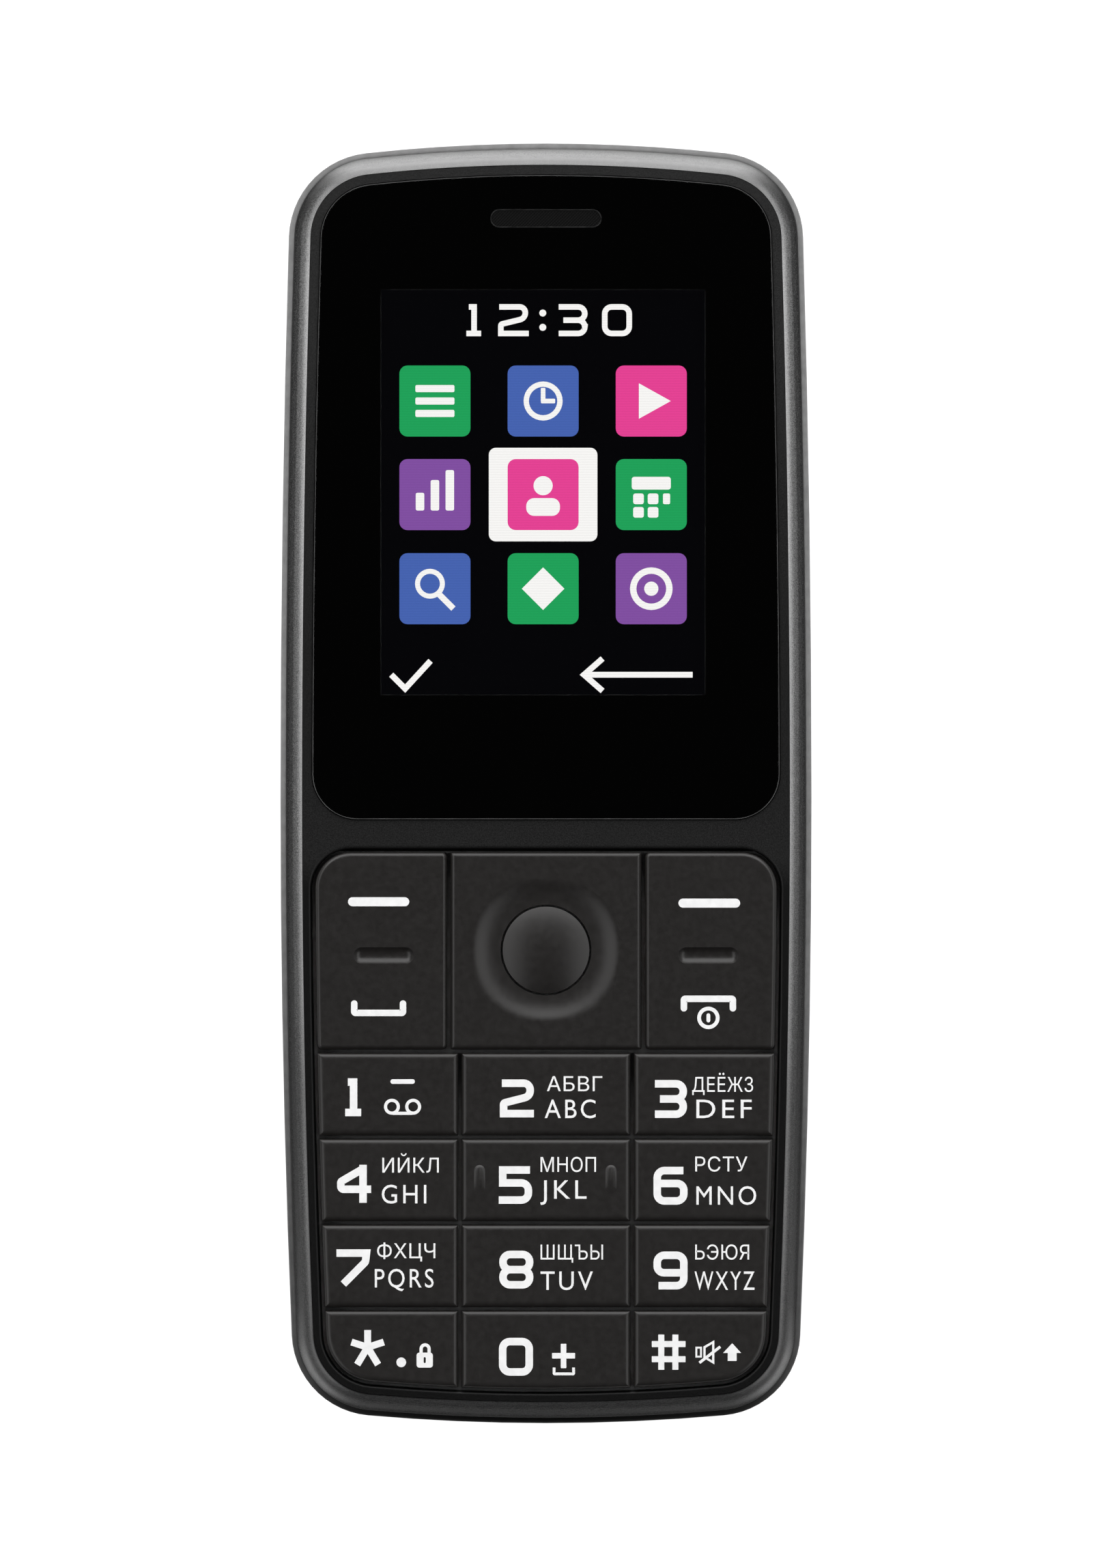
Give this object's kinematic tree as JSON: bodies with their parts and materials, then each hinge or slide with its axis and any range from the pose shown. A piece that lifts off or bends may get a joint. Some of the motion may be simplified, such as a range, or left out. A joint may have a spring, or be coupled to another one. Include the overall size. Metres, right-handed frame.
{
  "type": "mobile phone",
  "caption": "Slim candy-bar mobile phone with a small colour screen, domed four-way pad, separate number keys and a lift-off back cover.",
  "frame": {"origin": "middle of the back face, with the phone lying on its back", "axes": "+X to the right of the screen, +Y towards the earpiece, +Z out of the screen"},
  "size_m": [0.046, 0.1108, 0.0145],
  "materials": {
    "cover_plastic": "fine matte grain",
    "battery_wrap": "printed film over a metal cell",
    "band_plastic": "satin graphite",
    "ring_paint": "dark metallic flake paint",
    "frame_plastic": "fine spark-eroded grain",
    "key_plastic": "soft-touch satin",
    "window_glass": "polished",
    "tape": "adhesive foam",
    "screen": "lit screen in a metal frame",
    "flex_film": "amber film",
    "black_moulding": "moulded",
    "mesh_metal": "blackened mesh",
    "board_laminate": "green solder mask",
    "tinned_steel": "tinned sheet",
    "antenna_metal": "plated sheet",
    "mat_rubber": "silicone"
  },
  "bodies": {
    "phone": {"rear_housing": "band_plastic", "front_ring": "ring_paint", "front_housing": "frame_plastic", "display_window": "window_glass", "camera_window": "window_glass", "window_gasket": "tape", "display_module": "screen", "display_flex": "flex_film", "dome_sheet": "flex_film", "earpiece": "black_moulding", "loudspeaker": "black_moulding", "audio_jack": "black_moulding", "camera_module": "black_moulding", "battery_connector": "black_moulding", "earpiece_mesh": "mesh_metal", "loudspeaker_mesh": "mesh_metal", "main_board": "board_laminate", "shield_can": "tinned_steel", "rf_shield": "tinned_steel", "sim_holder_1": "tinned_steel", "sim_holder_2": "tinned_steel", "memory_card_holder": "tinned_steel", "usb_socket": "tinned_steel", "housing_screws": "tinned_steel", "vibration_motor": "tinned_steel", "microphone": "tinned_steel", "antenna": "antenna_metal", "keymat": "mat_rubber"},
    "cover": {"battery_cover": "cover_plastic"},
    "battery": {"battery": "battery_wrap"},
    "left_rocker": {"left_rocker": "key_plastic"},
    "right_rocker": {"right_rocker": "key_plastic"},
    "nav_actuator": {"nav_actuator": "key_plastic"},
    "nav_pad": {"nav_pad": "key_plastic"},
    "ok_button": {"ok_button": "key_plastic"},
    "key_1": {"key_1": "key_plastic"},
    "key_2": {"key_2": "key_plastic"},
    "key_3": {"key_3": "key_plastic"},
    "key_4": {"key_4": "key_plastic"},
    "key_5": {"key_5": "key_plastic"},
    "key_6": {"key_6": "key_plastic"},
    "key_7": {"key_7": "key_plastic"},
    "key_8": {"key_8": "key_plastic"},
    "key_9": {"key_9": "key_plastic"},
    "key_star": {"key_star": "key_plastic"},
    "key_0": {"key_0": "key_plastic"},
    "key_hash": {"key_hash": "key_plastic"}
  },
  "joints": [
    {"name": "cover_lift", "type": "slide", "parent": "phone", "child": "cover", "axis": [0, 0, -1], "range_m": [0, 0.016]},
    {"name": "battery_lift", "type": "slide", "parent": "phone", "child": "battery", "axis": [0, 0, -1], "range_m": [0, 0.008]},
    {"name": "press_1", "type": "slide", "parent": "phone", "child": "key_1", "axis": [0, 0, -1], "range_m": [0, 0.0003], "stiffness_N_per_m": 200, "springref_m": -0.0005},
    {"name": "press_2", "type": "slide", "parent": "phone", "child": "key_2", "axis": [0, 0, -1], "range_m": [0, 0.0003], "stiffness_N_per_m": 200, "springref_m": -0.0005},
    {"name": "press_3", "type": "slide", "parent": "phone", "child": "key_3", "axis": [0, 0, -1], "range_m": [0, 0.0003], "stiffness_N_per_m": 200, "springref_m": -0.0005},
    {"name": "press_4", "type": "slide", "parent": "phone", "child": "key_4", "axis": [0, 0, -1], "range_m": [0, 0.0003], "stiffness_N_per_m": 200, "springref_m": -0.0005},
    {"name": "press_5", "type": "slide", "parent": "phone", "child": "key_5", "axis": [0, 0, -1], "range_m": [0, 0.0003], "stiffness_N_per_m": 200, "springref_m": -0.0005},
    {"name": "press_6", "type": "slide", "parent": "phone", "child": "key_6", "axis": [0, 0, -1], "range_m": [0, 0.0003], "stiffness_N_per_m": 200, "springref_m": -0.0005},
    {"name": "press_7", "type": "slide", "parent": "phone", "child": "key_7", "axis": [0, 0, -1], "range_m": [0, 0.0003], "stiffness_N_per_m": 200, "springref_m": -0.0005},
    {"name": "press_8", "type": "slide", "parent": "phone", "child": "key_8", "axis": [0, 0, -1], "range_m": [0, 0.0003], "stiffness_N_per_m": 200, "springref_m": -0.0005},
    {"name": "press_9", "type": "slide", "parent": "phone", "child": "key_9", "axis": [0, 0, -1], "range_m": [0, 0.0003], "stiffness_N_per_m": 200, "springref_m": -0.0005},
    {"name": "press_star", "type": "slide", "parent": "phone", "child": "key_star", "axis": [0, 0, -1], "range_m": [0, 0.0003], "stiffness_N_per_m": 200, "springref_m": -0.0005},
    {"name": "press_0", "type": "slide", "parent": "phone", "child": "key_0", "axis": [0, 0, -1], "range_m": [0, 0.0003], "stiffness_N_per_m": 200, "springref_m": -0.0005},
    {"name": "press_hash", "type": "slide", "parent": "phone", "child": "key_hash", "axis": [0, 0, -1], "range_m": [0, 0.0003], "stiffness_N_per_m": 200, "springref_m": -0.0005},
    {"name": "press_ok", "type": "slide", "parent": "phone", "child": "ok_button", "axis": [0, 0, -1], "range_m": [0, 0.0003], "stiffness_N_per_m": 200, "springref_m": -0.0005},
    {"name": "left_rock", "type": "hinge", "parent": "phone", "child": "left_rocker", "pos_m": [-0.01405, -0.0149, 0.0104], "axis": [1, 0, 0], "range_deg": [-2, 2], "stiffness_Nm_per_rad": 0.05},
    {"name": "right_rock", "type": "hinge", "parent": "phone", "child": "right_rocker", "pos_m": [0.01405, -0.0149, 0.0104], "axis": [1, 0, 0], "range_deg": [-2, 2], "stiffness_Nm_per_rad": 0.05},
    {"name": "pad_tilt_up_down", "type": "hinge", "parent": "phone", "child": "nav_actuator", "pos_m": [0, -0.01443, 0.0104], "axis": [1, 0, 0], "range_deg": [-2, 2], "stiffness_Nm_per_rad": 0.05},
    {"name": "pad_tilt_left_right", "type": "hinge", "parent": "nav_actuator", "child": "nav_pad", "pos_m": [0, -0.01443, 0.0112], "axis": [0, 1, 0], "range_deg": [-2, 2], "stiffness_Nm_per_rad": 0.05}
  ],
  "couplings": [
    {"joint": "battery_lift", "follows": "cover_lift", "ratio": 0.5}
  ]
}
